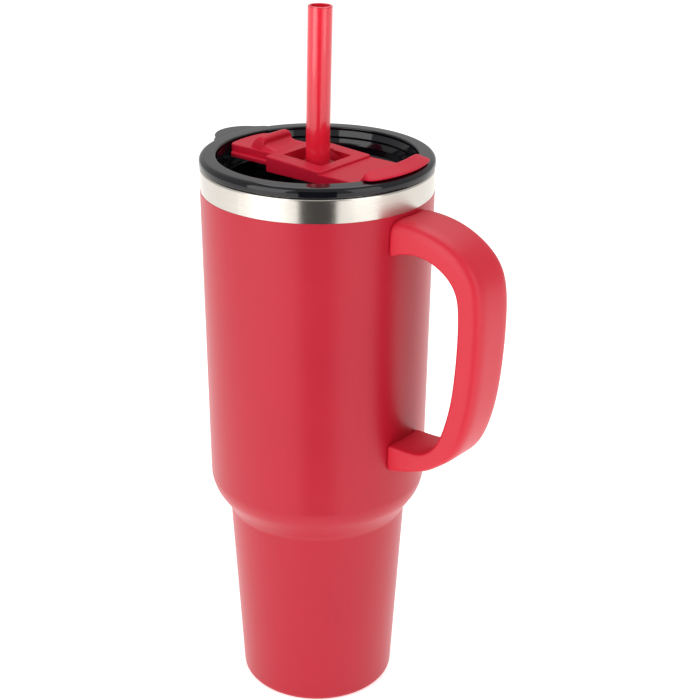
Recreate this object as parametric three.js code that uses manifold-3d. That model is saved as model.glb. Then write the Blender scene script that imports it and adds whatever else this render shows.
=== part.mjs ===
// Insulated travel mug with a side handle, press-in lid, turning drink cover and straw.
// Millimetres, +Z up. The origin is the middle of the base, on the surface the mug stands on.
// The handle points along +X, and the lid's lift tab along -X.
import * as THREE from "three";
import { mergeVertices } from "three/addons/utils/BufferGeometryUtils.js";
import Module from "manifold-3d";

const wasm = await Module();
wasm.setup();

// ---------- driving dimensions ----------
const GAP = 0.3; // running gap between neighbouring pieces
const SIDES = 44; // facets round a large turned piece
const SMALL_SIDES = 24; // facets round a small turned piece

const STEEL = 0.6; // sheet thickness of the outer wall
const LINER_STEEL = 0.5;
const BASE_RADIUS = 35.85; // lower cone, carried down to the floor
const CREASE = { r: 41.0, z: 92.1 }; // where the lower cone meets the shoulder
const SHOULDER = { r: 49.55, z: 105.0 }; // where the shoulder meets the upper cone
const LIP = { r: 51.1, z: 255.6 }; // rolled lip of the mouth
const FOOT_RADIUS = 32.2; // inner edge of the standing ring

const LINER_TOP_RADIUS = 48.8;
const LINER_FLOOR = 5.2;
const MOUTH_RADIUS = LINER_TOP_RADIUS - LINER_STEEL;

const LID_RADIUS = 51.2;
const LID_TOP = 260.1;
const WELL_RADIUS = 43.8;
const WELL_FLOOR = 248.5;
const LID_FLOOR_THICKNESS = 2.0;
const SKIRT_BOTTOM = 241.0;
const TAB = { middle: 44.6, r: 14.0, azimuthDeg: 176.0, thickness: 1.8 };

const HUB = { r: 9.0, bore: 6.6, bottom: 241.8 };
const ROTOR = {
  blockRear: -14.8,
  blockFront: 15.7,
  blockHalfWidth: 17.7,
  rearTop: 260.05,
  frontTop: 258.4,
  blockBottom: 252.9,
  wellHalf: 10.5,
  wellFloor: 254.1,
  armRadius: 42.0,
  frontArmTop: 257.5,
  ledgeTop: 256.5,
  rearPlateTop: 259.5,
  armBottom: 255.3,
  frontHalfWidth: 17.6,
  rearHalfWidth: 14.3,
  rearPlateHalfWidth: 11.7,
};
const RIM_GUARD = { root: 39.4, inner: 42.0, outer: 50.6, crest: 264.0, edge: 262.0, halfAngle: 25.5 };
const THUMB_BAR = { near: -22.6, far: -30.0, halfLength: 9.2, top: 264.3, rampTop: 261.0 };
const DRINK_HOLE = { x: 31.0, halfLength: 5.0, halfWidth: 6.5, corner: 3.0 };
const VENT = { x: -31.0, r: 2.0 };

const STRAW = {
  r: 5.0,
  wall: 1.1,
  top: 323.3,
  length: 311.0,
  leanDeg: 0.92,
  leanTowardsDeg: 40.0,
  pivot: 255.0,
};

const UPPER_TAB = { z: 236.0, halfWidth: 9.0, reach: 68.0, thickness: 2.0 };
const LOWER_TAB = { z: 132.6, halfWidth: 8.0, reach: 60.0, thickness: 2.0 };
const SCREW = { x: 61.0, y: 5.0, head: 2.7, shank: 1.5 };

// Sections through the handle from the upper root to the lower root: the inner and outer faces
// as [x, z], half the width, and the radius of the two outer corners.
const HANDLE_SECTIONS = [
  { inner: [46.0, 226.6], outer: [46.0, 243.2], half: 13.4, corner: 6.5 },
  { inner: [57.3, 230.0], outer: [57.5, 243.5], half: 13.2, corner: 6.5 },
  { inner: [66.5, 230.2], outer: [68.5, 241.7], half: 12.9, corner: 6.0 },
  { inner: [75.3, 226.3], outer: [80.3, 236.9], half: 12.5, corner: 5.5 },
  { inner: [81.2, 219.8], outer: [90.0, 228.0], half: 12.1, corner: 5.0 },
  { inner: [83.3, 210.5], outer: [94.0, 214.8], half: 11.9, corner: 5.0 },
  { inner: [83.3, 195.0], outer: [94.4, 196.0], half: 11.7, corner: 5.0 },
  { inner: [81.9, 176.0], outer: [93.1, 176.5], half: 11.5, corner: 5.0 },
  { inner: [79.3, 161.5], outer: [90.1, 159.5], half: 11.4, corner: 5.0 },
  { inner: [74.6, 148.2], outer: [84.0, 144.8], half: 11.3, corner: 5.0 },
  { inner: [68.5, 141.7], outer: [75.0, 136.2], half: 11.2, corner: 4.5 },
  { inner: [61.5, 139.4], outer: [64.5, 129.9], half: 11.2, corner: 4.5 },
  { inner: [46.0, 138.9], outer: [46.0, 124.3], half: 11.2, corner: 4.5 },
];
const HANDLE_INNER_CORNER = 1.5;
const HANDLE_STEPS = 3; // rings between two sections

// ---------- finishes ----------
function finish(color, roughness, metalness) {
  return new THREE.MeshStandardMaterial({ color, roughness, metalness });
}
const powderCoat = finish(0xb81f32, 0.45, 0.0);
const bareSteel = finish(0xc9c6bf, 0.3, 1.0);
const redPlastic = finish(0xcc2036, 0.42, 0.0);
const strawPlastic = finish(0xd42a3c, 0.25, 0.0);
const blackPlastic = finish(0x0c0e12, 0.08, 0.0);
const silicone = finish(0x1a1b1e, 0.6, 0.0);
const alloy = finish(0x8b8a86, 0.5, 1.0);

// ---------- solids ----------
// A closed geometry as a manifold solid with its faces pointing out.
function solidOf(geometry) {
  const bare = geometry.index ? geometry.toNonIndexed() : geometry.clone();
  const positions = new THREE.BufferGeometry().setAttribute("position", bare.getAttribute("position"));
  const merged = mergeVertices(positions, 1e-4);
  const index = merged.index.array;
  const kept = [];
  for (let i = 0; i < index.length; i += 3) {
    const [a, b, c] = [index[i], index[i + 1], index[i + 2]];
    if (a !== b && b !== c && c !== a) kept.push(a, b, c);
  }
  const build = (triangles) =>
    new wasm.Manifold(
      new wasm.Mesh({
        numProp: 3,
        vertProperties: new Float32Array(merged.attributes.position.array),
        triVerts: new Uint32Array(triangles),
      }),
    );
  const made = build(kept);
  return made.volume() < 0 ? build(kept.reverse()) : made;
}

// Corners [r, z, radius] as a polyline whose corners are arcs.
function rounded(corners, closed, steps) {
  const points = [];
  const count = corners.length;
  corners.forEach(([x, y, radius = 0], i) => {
    const here = new THREE.Vector2(x, y);
    const isEnd = !closed && (i === 0 || i === count - 1);
    if (isEnd || radius === 0) {
      points.push(here);
      return;
    }
    const before = new THREE.Vector2(...corners[(i + count - 1) % count]).sub(here).normalize();
    const after = new THREE.Vector2(...corners[(i + 1) % count]).sub(here).normalize();
    const half = Math.acos(before.dot(after)) / 2;
    const middle = before.clone().add(after).normalize();
    const centre = here.clone().addScaledVector(middle, radius / Math.sin(half));
    const from = here.clone().addScaledVector(before, radius / Math.tan(half)).sub(centre);
    const to = here.clone().addScaledVector(after, radius / Math.tan(half)).sub(centre);
    const start = from.angle();
    let sweep = to.angle() - start;
    if (sweep > Math.PI) sweep -= 2 * Math.PI;
    if (sweep < -Math.PI) sweep += 2 * Math.PI;
    for (let k = 0; k <= steps; k++) {
      const angle = start + (sweep * k) / steps;
      points.push(new THREE.Vector2(Math.cos(angle), Math.sin(angle)).multiplyScalar(radius).add(centre));
    }
  });
  if (closed) points.push(points[0].clone());
  return points;
}

// The corners of a wall's other face, a wall's thickness to the left of a run of corners.
function offsetRun(run, distance) {
  const step = ([x, y], i) => new THREE.Vector2(x - run[i][0], y - run[i][1]).normalize();
  const towards = run.slice(1).map(step);
  return run.map(([x, y, radius = 0], i) => {
    const before = towards[Math.max(i - 1, 0)];
    const after = towards[Math.min(i, towards.length - 1)];
    const reach = distance / (1 + before.dot(after));
    const turn = Math.sign(before.cross(after));
    const moved = [x - (before.y + after.y) * reach, y + (before.x + after.x) * reach];
    return [...moved, radius > 0 ? radius - turn * distance : 0];
  });
}

// A body turned about Z. A ring's profile closes on itself, and a disc's starts and ends on the axis.
function turned(corners, sides = SIDES, steps = 3) {
  const onAxis = corners[0][0] === 0;
  const geometry = new THREE.LatheGeometry(rounded(corners, !onAxis, steps), sides);
  return solidOf(geometry.rotateX(Math.PI / 2));
}

// A flat outline in X and Y, raised from low to high.
function raised(shape, low, high, curveSegments = 5) {
  const depth = high - low;
  const geometry = new THREE.ExtrudeGeometry(shape, { depth, bevelEnabled: false, curveSegments });
  return solidOf(geometry.translate(0, 0, low));
}

function block(x0, x1, y0, y1, z0, z1) {
  const geometry = new THREE.BoxGeometry(x1 - x0, y1 - y0, z1 - z0);
  return solidOf(geometry.translate((x0 + x1) / 2, (y0 + y1) / 2, (z0 + z1) / 2));
}

function disc(x, y, radius, z0, z1) {
  const geometry = new THREE.CylinderGeometry(radius, radius, z1 - z0, SMALL_SIDES);
  return solidOf(geometry.rotateX(Math.PI / 2).translate(x, y, (z0 + z1) / 2));
}

function roundedBox(x0, x1, y0, y1, radius) {
  const shape = new THREE.Shape();
  shape.moveTo(x0 + radius, y0);
  shape.lineTo(x1 - radius, y0);
  shape.absarc(x1 - radius, y0 + radius, radius, -Math.PI / 2, 0, false);
  shape.lineTo(x1, y1 - radius);
  shape.absarc(x1 - radius, y1 - radius, radius, 0, Math.PI / 2, false);
  shape.lineTo(x0 + radius, y1);
  shape.absarc(x0 + radius, y1 - radius, radius, Math.PI / 2, Math.PI, false);
  shape.lineTo(x0, y0 + radius);
  shape.absarc(x0 + radius, y0 + radius, radius, Math.PI, 1.5 * Math.PI, false);
  return shape;
}

function sum(first, ...others) {
  return others.reduce((whole, other) => whole.add(other), first);
}

function difference(first, ...others) {
  return others.reduce((whole, other) => whole.subtract(other), first);
}

const root = new THREE.Group();

// One named node made from a solid.
function add(name, solid, material, parent = root) {
  const { vertProperties, triVerts } = solid.getMesh();
  const geometry = new THREE.BufferGeometry();
  geometry.setAttribute("position", new THREE.BufferAttribute(new Float32Array(vertProperties), 3));
  geometry.setIndex(new THREE.BufferAttribute(new Uint32Array(triVerts), 1));
  geometry.computeVertexNormals();
  const mesh = new THREE.Mesh(geometry, material);
  mesh.name = name;
  parent.add(mesh);
  return mesh;
}

// ---------- the vacuum body ----------
// Outer radius of the upper cone at a height.
function upperRadius(z) {
  const slope = (LIP.r - SHOULDER.r) / (LIP.z - SHOULDER.z);
  return SHOULDER.r + slope * (z - SHOULDER.z);
}

function outerWall() {
  const outside = [
    [FOOT_RADIUS, 0],
    [BASE_RADIUS, 0, 3.0],
    [CREASE.r, CREASE.z, 4.9],
    [SHOULDER.r, SHOULDER.z, 15.8],
    [LIP.r, LIP.z, 1.2],
    [LINER_TOP_RADIUS + GAP, LIP.z],
  ];
  return turned([...outside, ...offsetRun(outside, STEEL).reverse()]);
}

function innerLiner() {
  const inside = [
    [MOUTH_RADIUS, LIP.z],
    [MOUTH_RADIUS, 242.3],
    [46.9, 238.3],
    [45.8, 106.7, 13.0],
    [37.4, 93.9, 4.0],
    [32.6, LINER_FLOOR + LINER_STEEL, 6.2],
    [0, LINER_FLOOR + LINER_STEEL],
  ];
  return turned([...offsetRun(inside, LINER_STEEL).reverse(), ...inside]);
}

function basePlate() {
  const edge = FOOT_RADIUS - GAP;
  return turned([
    [0, 0],
    [26.0, 0],
    [27.0, 0.9],
    [edge, 0.9],
    [edge, 4.6],
    [edge - 0.8, 4.6],
    [edge - 0.8, 1.7],
    [26.6, 1.7],
    [25.6, 0.8],
    [0, 0.8],
  ]);
}

// The pellet that holds the vacuum, in the space between the base plate and the liner.
function getter() {
  return turned(
    [
      [0, 1.1],
      [6.0, 1.1],
      [6.0, 3.6],
      [5.0, 3.6],
      [4.4, 2.6],
      [0, 2.6],
    ],
    SMALL_SIDES,
  );
}

add("outer_wall", outerWall(), powderCoat);
add("inner_liner", innerLiner(), bareSteel);
add("base_plate", basePlate(), bareSteel);
add("vacuum_getter", getter(), alloy);

// ---------- the handle ----------
// A curve through one value of every section.
function sectionCurve(valueOf) {
  return new THREE.CatmullRomCurve3(HANDLE_SECTIONS.map((s) => new THREE.Vector3(...valueOf(s))));
}

// One ring of the handle: a rectangle between the inner and outer faces with rounded corners.
function handleRing(inner, outer, half, corner) {
  const across = outer.clone().sub(inner);
  const depth = across.length();
  across.normalize();
  const ring = [];
  const corners = [
    [depth - corner, half - corner, corner, 0],
    [HANDLE_INNER_CORNER, half - HANDLE_INNER_CORNER, HANDLE_INNER_CORNER, 1],
    [HANDLE_INNER_CORNER, HANDLE_INNER_CORNER - half, HANDLE_INNER_CORNER, 2],
    [depth - corner, corner - half, corner, 3],
  ];
  for (const [a, b, radius, quarter] of corners) {
    const steps = quarter === 0 || quarter === 3 ? 4 : 1;
    for (let k = 0; k <= steps; k++) {
      const angle = ((quarter + k / steps) * Math.PI) / 2;
      const along = a + radius * Math.cos(angle);
      const point = inner.clone().addScaledVector(across, along);
      point.y += b + radius * Math.sin(angle);
      ring.push(point);
    }
  }
  return ring;
}

// A closed skin over rings of equally many points.
function loft(rings) {
  const size = rings[0].length;
  const positions = rings.flat().flatMap((p) => [p.x, p.y, p.z]);
  const index = [];
  for (let i = 0; i + 1 < rings.length; i++)
    for (let j = 0; j < size; j++) {
      const next = (j + 1) % size;
      const [a, b, c, d] = [i * size + j, i * size + next, (i + 1) * size + next, (i + 1) * size + j];
      index.push(a, b, c, a, c, d);
    }
  const last = (rings.length - 1) * size;
  for (let j = 1; j + 1 < size; j++) {
    index.push(0, j + 1, j);
    index.push(last, last + j, last + j + 1);
  }
  const geometry = new THREE.BufferGeometry();
  geometry.setAttribute("position", new THREE.Float32BufferAttribute(positions, 3));
  geometry.setIndex(index);
  return solidOf(geometry);
}

// The space that the mug's wall takes up, grown by the gap.
function wallSpace(low, high) {
  return turned([
    [0, low],
    [upperRadius(low) + GAP, low],
    [upperRadius(high) + GAP, high],
    [0, high],
  ]);
}

function screwHoles(radius, low, high) {
  return [-1, 1].map((side) => disc(SCREW.x, side * SCREW.y, radius, low, high));
}

function handle() {
  const innerFace = sectionCurve((s) => [s.inner[0], 0, s.inner[1]]);
  const outerFace = sectionCurve((s) => [s.outer[0], 0, s.outer[1]]);
  const sizes = sectionCurve((s) => [s.half, s.corner, 0]);
  const rings = [];
  const count = (HANDLE_SECTIONS.length - 1) * HANDLE_STEPS;
  for (let i = 0; i <= count; i++) {
    const size = sizes.getPoint(i / count);
    rings.push(handleRing(innerFace.getPoint(i / count), outerFace.getPoint(i / count), size.x, size.y));
  }
  const upperSocket = block(45, UPPER_TAB.reach + 1.5, -10.2, 10.2, UPPER_TAB.z - 0.6, 240.4);
  const upperPad = block(45, 54.0, -10.2, 10.2, 231.0, 240.4);
  const lowerSocket = block(45, LOWER_TAB.reach + 0.8, -9.0, 9.0, 130.6, 137.2);
  const plugRecess = raised(roundedBox(57.6, 64.4, -8.6, 8.6, 3.3), 225.0, 233.7);
  return difference(
    loft(rings),
    wallSpace(110, 252),
    upperSocket,
    upperPad,
    lowerSocket,
    plugRecess,
    ...screwHoles(SCREW.shank + GAP, 230.0, 236.0),
  );
}

// A pad that follows the wall, welded to it, with a tab that stands out into the handle.
function bracketPad(halfWidth, low, high, thickness) {
  const ring = difference(
    turned([
      [0, low],
      [upperRadius(low) + GAP + thickness, low],
      [upperRadius(high) + GAP + thickness, high],
      [0, high],
    ]),
    wallSpace(low - 1, high + 1),
  );
  return ring.intersect(block(40, 60, -halfWidth, halfWidth, low, high));
}

function upperBracket() {
  const { z, halfWidth, reach, thickness } = UPPER_TAB;
  const tab = raised(roundedBox(46.0, reach, -halfWidth, halfWidth, 2.5), z, z + thickness);
  const pad = bracketPad(halfWidth, 231.6, 239.8, 1.4);
  const holes = screwHoles(SCREW.shank + GAP, z - 1, z + thickness + 1);
  return difference(sum(pad, tab), wallSpace(220, 250), ...holes);
}

function lowerBracket() {
  const { z, halfWidth, reach, thickness } = LOWER_TAB;
  const tab = raised(roundedBox(46.0, reach, -halfWidth, halfWidth, 2.0), z, z + thickness);
  const hook = block(reach - 2.4, reach - 0.6, 2 - halfWidth, halfWidth - 2, z + 0.5, z + thickness + 1.8);
  const pad = bracketPad(halfWidth, 130.9, 136.8, 1.4);
  return difference(sum(pad, tab, hook), wallSpace(115, 150));
}

function handleScrew(side) {
  const { x, y, head, shank } = SCREW;
  return sum(disc(x, side * y, head, 231.6, 233.4), disc(x, side * y, shank, 233.0, 239.4));
}

// The plug that hides the screw heads on the underside of the upper arm.
function screwCover() {
  return raised(roundedBox(57.6 + GAP, 64.4 - GAP, -8.3, 8.3, 3.0), 229.9, 231.3);
}

add("handle", handle(), redPlastic);
add("handle_upper_bracket", upperBracket(), bareSteel);
add("handle_lower_bracket", lowerBracket(), bareSteel);
add("handle_screw_left", handleScrew(-1), bareSteel);
add("handle_screw_right", handleScrew(1), bareSteel);
add("screw_cover", screwCover(), redPlastic);

// ---------- the lid ----------
// The lift tab: a thin round ear that stands out past the rim.
function liftTab() {
  const { middle, r, azimuthDeg, thickness } = TAB;
  const spread = 1.09;
  const shape = new THREE.Shape();
  shape.moveTo(45.0, -17.5);
  shape.lineTo(48.6, -15.9);
  shape.lineTo(middle + r * Math.cos(spread), -r * Math.sin(spread));
  shape.absarc(middle, 0, r, -spread, spread, false);
  shape.lineTo(48.6, 15.9);
  shape.lineTo(45.0, 17.5);
  shape.closePath();
  return raised(shape, LID_TOP - 0.1 - thickness, LID_TOP - 0.1, 12).rotate([0, 0, azimuthDeg]);
}

function lidBody() {
  const underRim = LIP.z + GAP;
  const floorUnder = WELL_FLOOR - LID_FLOOR_THICKNESS;
  const bowl = turned([
    [HUB.r + 0.4, WELL_FLOOR],
    [HUB.r + 0.4, floorUnder],
    [42.0, floorUnder],
    [42.0, SKIRT_BOTTOM],
    [45.4, SKIRT_BOTTOM, 1.0],
    [45.6, 243.5],
    [44.2, 243.5],
    [44.2, 249.0],
    [45.8, 249.0],
    [47.0, underRim],
    [LID_RADIUS, underRim, 0.5],
    [LID_RADIUS, LID_TOP, 2.3],
    [WELL_RADIUS, LID_TOP, 0.7],
    [WELL_RADIUS, WELL_FLOOR, 1.2],
  ]);
  const { x, halfLength, halfWidth, corner } = DRINK_HOLE;
  const drinkOutline = roundedBox(x - halfLength, x + halfLength, -halfWidth, halfWidth, corner);
  const drinkHole = raised(drinkOutline, floorUnder - 1, WELL_FLOOR + 1, 6);
  const ventHole = disc(VENT.x, 0, VENT.r, floorUnder - 1, WELL_FLOOR + 1);
  return difference(sum(bowl, liftTab()), drinkHole, ventHole);
}

// The lid's sealing ring: a band in the skirt's groove with two soft fins.
function lidGasket() {
  const fin = MOUTH_RADIUS - 0.4;
  return turned([
    [44.5, 243.8],
    [45.9, 243.8],
    [46.0, 244.7],
    [fin, 245.4],
    [46.2, 245.8],
    [46.2, 246.9],
    [fin, 247.6],
    [45.9, 248.1],
    [45.6, 248.7],
    [44.5, 248.7],
  ]);
}

add("lid_body", lidBody(), blackPlastic);
add("lid_gasket", lidGasket(), silicone);

// ---------- the turning drink cover ----------
// A bar across the well whose end follows the well's wall. side is 1 at the front, -1 at the rear.
function arm(side, halfWidth, low, high) {
  const edge = Math.asin(halfWidth / ROTOR.armRadius);
  const shape = new THREE.Shape();
  shape.moveTo(0, -halfWidth);
  shape.lineTo(ROTOR.armRadius * Math.cos(edge), -halfWidth);
  shape.absarc(0, 0, ROTOR.armRadius, -edge, edge, false);
  shape.lineTo(0, halfWidth);
  const solid = raised(shape, low, high);
  return side > 0 ? solid : solid.rotate([0, 0, 180]);
}

// The raised crescent that guards the rim over the drink hole. It falls away to the outside.
function rimGuard() {
  const { root, inner, outer, crest, edge, halfAngle } = RIM_GUARD;
  const ring = turned([
    [root, ROTOR.armBottom],
    [ROTOR.armRadius, ROTOR.armBottom],
    [ROTOR.armRadius + 0.6, LID_TOP + GAP],
    [outer - 2.4, LID_TOP + GAP],
    [outer, edge - 0.7],
    [outer - 0.5, edge, 0.4],
    [inner + 0.9, crest, 0.8],
    [inner - 0.2, crest - 1.8],
  ]);
  const spread = (halfAngle * Math.PI) / 180;
  const wedge = new THREE.Shape();
  wedge.moveTo(0, 0);
  wedge.lineTo(70 * Math.cos(spread), -70 * Math.sin(spread));
  wedge.absarc(0, 0, 70, -spread, spread, false);
  return ring.intersect(raised(wedge, 240, 280));
}

// A side view, given in x and z, carried the same way to both sides of the middle.
function acrossMiddle(section, halfWidth, curveSegments) {
  const settings = { depth: 2 * halfWidth, bevelEnabled: false, curveSegments };
  const geometry = new THREE.ExtrudeGeometry(section, settings);
  return solidOf(geometry.rotateX(Math.PI / 2).translate(0, halfWidth, 0));
}

// The bar a thumb pushes on, and the ramp that runs from its foot down to the block.
function thumbBar() {
  const { near, far, halfLength, top, rampTop } = THUMB_BAR;
  const low = ROTOR.rearPlateTop - 2.0;
  const section = new THREE.Shape();
  section.moveTo(far, low);
  section.lineTo(ROTOR.blockRear + 1.0, low);
  section.lineTo(ROTOR.blockRear + 1.0, ROTOR.rearTop - 0.1);
  section.lineTo(near, rampTop);
  section.lineTo(near, top - 1.6);
  section.bezierCurveTo(near, top + 0.2, near - 2.6, top + 0.4, near - 4.4, top - 0.8);
  section.lineTo(far + 0.4, rampTop);
  section.closePath();
  return acrossMiddle(section, halfLength, 6);
}

// The middle block, whose top falls gently towards the drinking side.
function middleBlock() {
  const { blockRear: rear, blockFront: front, blockHalfWidth, blockBottom, rearTop, frontTop } = ROTOR;
  const section = new THREE.Shape();
  section.moveTo(rear, blockBottom);
  section.lineTo(front, blockBottom);
  section.lineTo(front, frontTop);
  section.lineTo(rear, rearTop);
  section.closePath();
  return acrossMiddle(section, blockHalfWidth, 2);
}

// The sleeve that turns in the lid's hole, with a groove for the retaining clip.
function hub() {
  return turned(
    [
      [HUB.bore, HUB.bottom],
      [HUB.r - 0.5, HUB.bottom],
      [HUB.r, 243.3],
      [7.9, 243.5],
      [7.9, 246.2],
      [HUB.r, 246.2],
      [HUB.r, 253.4],
      [HUB.bore, 253.4],
    ],
    SMALL_SIDES,
  );
}

function rotor() {
  const { wellHalf, blockBottom, armBottom } = ROTOR;
  const well = raised(roundedBox(-wellHalf, wellHalf, -wellHalf, wellHalf, 1.0), ROTOR.wellFloor, 262, 4);
  const bore = disc(0, 0, HUB.bore, 240, 256);
  const frontBoss = raised(roundedBox(25.5, 36.5, -7, 7, 3), 251.8, armBottom + 0.5, 6);
  const rearBoss = disc(VENT.x, 0, 4.0, 251.8, armBottom + 0.5);
  const whole = sum(
    middleBlock(),
    arm(1, ROTOR.frontHalfWidth, blockBottom, ROTOR.frontArmTop),
    arm(-1, ROTOR.rearHalfWidth, armBottom - 0.7, ROTOR.ledgeTop),
    arm(-1, ROTOR.rearPlateHalfWidth, armBottom, ROTOR.rearPlateTop),
    rimGuard(),
    thumbBar(),
    frontBoss,
    rearBoss,
    hub(),
  );
  return difference(whole, well, bore);
}

// A soft pad under each arm, which closes the hole below it.
function drinkSeal() {
  return raised(roundedBox(24.2, 37.8, -8.4, 8.4, 4), WELL_FLOOR + GAP, 251.5, 6);
}

function ventSeal() {
  return disc(VENT.x, 0, 4.5, WELL_FLOOR + GAP, 251.5);
}

function hubSeal() {
  return turned(
    [
      [HUB.r + GAP, WELL_FLOOR + GAP],
      [11.3, WELL_FLOOR + GAP],
      [11.3, ROTOR.blockBottom - GAP],
      [HUB.r + GAP, ROTOR.blockBottom - GAP],
    ],
    SMALL_SIDES,
  );
}

// A split clip that snaps into the hub's groove under the lid.
function retainer() {
  const low = 243.8;
  const high = WELL_FLOOR - LID_FLOOR_THICKNESS - GAP;
  const ring = turned(
    [
      [8.2, low],
      [12.5, low],
      [12.5, high - 0.4],
      [8.2, high - 0.4],
    ],
    SMALL_SIDES,
  );
  return difference(ring, block(-14, 0, -2.5, 2.5, low - 1, high + 1));
}

function grommet() {
  const bore = STRAW.r + 0.4;
  const sleeve = HUB.bore - GAP;
  return turned(
    [
      [bore, 242.4],
      [sleeve, 242.4],
      [sleeve, ROTOR.wellFloor + GAP],
      [8.2, ROTOR.wellFloor + GAP],
      [8.2, ROTOR.wellFloor + 1.5, 0.5],
      [bore, ROTOR.wellFloor + 1.5, 0.3],
    ],
    SMALL_SIDES,
  );
}

add("lid_rotor", rotor(), redPlastic);
add("drink_seal", drinkSeal(), silicone);
add("vent_seal", ventSeal(), silicone);
add("hub_seal", hubSeal(), silicone);
add("rotor_retainer", retainer(), redPlastic);
add("straw_grommet", grommet(), silicone);

// ---------- the straw ----------
function straw() {
  const { r, wall, top, length, pivot } = STRAW;
  const high = top - pivot;
  return turned(
    [
      [r - wall, high - length, 0.3],
      [r, high - length, 0.4],
      [r, high, 0.4],
      [r - wall, high, 0.3],
    ],
    SMALL_SIDES,
    2,
  );
}

// The straw stands in its grommet with a slight lean.
const leaning = new THREE.Group();
const leanAxisAngle = ((STRAW.leanTowardsDeg + 90) * Math.PI) / 180;
const leanAxis = new THREE.Vector3(Math.cos(leanAxisAngle), Math.sin(leanAxisAngle), 0);
leaning.quaternion.setFromAxisAngle(leanAxis, (STRAW.leanDeg * Math.PI) / 180);
leaning.position.set(0, 0, STRAW.pivot);
root.add(leaning);
add("straw", straw(), strawPlastic, leaning);

export default root;
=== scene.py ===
"""Looks for the insulated travel mug: coated steel body, moulded handle, press-in lid,
turning drink cover and straw. Shapes are given in millimetres and built in metres."""

import math

import bpy
from mathutils import Matrix, Quaternion, Vector


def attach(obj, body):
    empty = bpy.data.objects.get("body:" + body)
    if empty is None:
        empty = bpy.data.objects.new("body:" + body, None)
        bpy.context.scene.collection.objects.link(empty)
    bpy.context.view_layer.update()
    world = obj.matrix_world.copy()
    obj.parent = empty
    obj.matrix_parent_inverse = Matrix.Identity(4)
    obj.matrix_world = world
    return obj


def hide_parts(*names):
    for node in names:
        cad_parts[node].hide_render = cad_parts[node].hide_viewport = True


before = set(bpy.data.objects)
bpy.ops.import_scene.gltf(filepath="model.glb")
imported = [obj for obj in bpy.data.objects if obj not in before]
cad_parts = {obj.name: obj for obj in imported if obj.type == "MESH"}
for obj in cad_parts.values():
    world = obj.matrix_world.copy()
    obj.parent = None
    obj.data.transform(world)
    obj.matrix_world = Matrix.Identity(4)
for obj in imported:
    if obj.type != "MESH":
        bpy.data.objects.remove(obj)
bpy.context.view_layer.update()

MM = 0.001
ARC_SEGMENTS = 6  # faces round one rounded corner of a profile
TURN_STEPS = 160  # faces round a large turned piece
SMALL_STEPS = 64  # faces round a small turned piece
EDGE_SEGMENTS = 3  # faces across an eased edge
LOFT_LEVELS = 3  # rounds of smoothing on a lofted skin
CAGE_ROUNDS = 16  # steps that settle a cage on the curve it has to give
CREASE_ANGLE = math.radians(30)  # edges sharper than this stay crisp on cut pieces
LEAST_RADIUS = 0.05  # of a rounded corner that a wall's thickness closes up
FIT_GAP = 0.3  # clearance between two pieces that meet

# ---------- dimensions of the vacuum body ----------
STEEL = 0.6
LINER_STEEL = 0.5
COAT = 0.12  # how far the powder coat stands proud of the steel
COAT_SINK = 0.05  # how far its inner face lies inside the steel
COAT_TOP = 245.1
BASE_RADIUS = 35.85
FOOT_RADIUS = 32.2
COAT_FOOT_RADIUS = 33.3
CREASE = (41.0, 92.1, 4.9)  # radius, height and corner radius, as in the next two
SHOULDER = (49.55, 105.0, 15.8)
LIP = (51.1, 255.6, 1.2)
LINER_TOP_RADIUS = 48.8
LINER_FLOOR = 5.2
MOUTH_RADIUS = LINER_TOP_RADIUS - LINER_STEEL

# ---------- dimensions of the lid and its cover ----------
LID_RADIUS = 51.2
LID_TOP = 260.1
WELL_RADIUS = 43.8
WELL_FLOOR = 248.5
LID_FLOOR = 246.5  # underside of the well's floor
SKIRT_BOTTOM = 241.0
HUB_RADIUS = 9.0
HUB_BORE = 6.6
ARM_RADIUS = 42.0
ARM_TOP = 257.5
ARM_BOTTOM = 255.3
REAR_ARM_TOP = 259.5
REAR_ARM_BOTTOM = 255.8
LEDGE_TOP = 256.5
LEDGE_SETBACK = 1.2  # of the ledge's end from the arm's
COVER_TOP = 259.25  # at the lid's axis
COVER_FALL = 0.054  # of the cover's top for each unit towards the drinking side
COVER_BOTTOM = 252.9
COVER_WELL_FLOOR = 254.1
COVER_WELL_HALF = 10.5
SLEEVE_TOP = 253.4  # inside the block
SLEEVE_BOTTOM = 241.8
CLIP_TOP = 245.8
CLIP_BOTTOM = 243.8

DRINK_PLACE = 31.0  # of the drink hole's middle, in front of the axis
VENT_PLACE = -31.0  # of the vent's middle, behind it
HOLE_TOP = 250.0  # the two holes' cutters reach from above the floor to below it
HOLE_BOTTOM = 244.0
BOSS_BOTTOM = 251.8
PAD_TOP = 251.5
PAD_BOTTOM = WELL_FLOOR + FIT_GAP

TAB_AZIMUTH = 176.0
TAB_MIDDLE = 44.6  # distance of the tab's round end from the lid's axis
TAB_RADIUS = 14.0
TAB_ROUND_FROM = 6.5  # past TAB_MIDDLE, where the round end takes over from the flare
TAB_FLARE = ((45.0, 17.5), (48.6, 15.9))  # distance and half width, from the rim outwards
TAB_TOP = 260.05
TAB_BOTTOM = 258.2

STRAW_RADIUS = 5.25
STRAW_WALL = 1.1
STRAW_TOP = 323.3
STRAW_LENGTH = 311.0
STRAW_PIVOT = 255.0
STRAW_LEAN = math.radians(0.92)
STRAW_LEAN_TOWARDS = math.radians(40.0)

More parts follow.
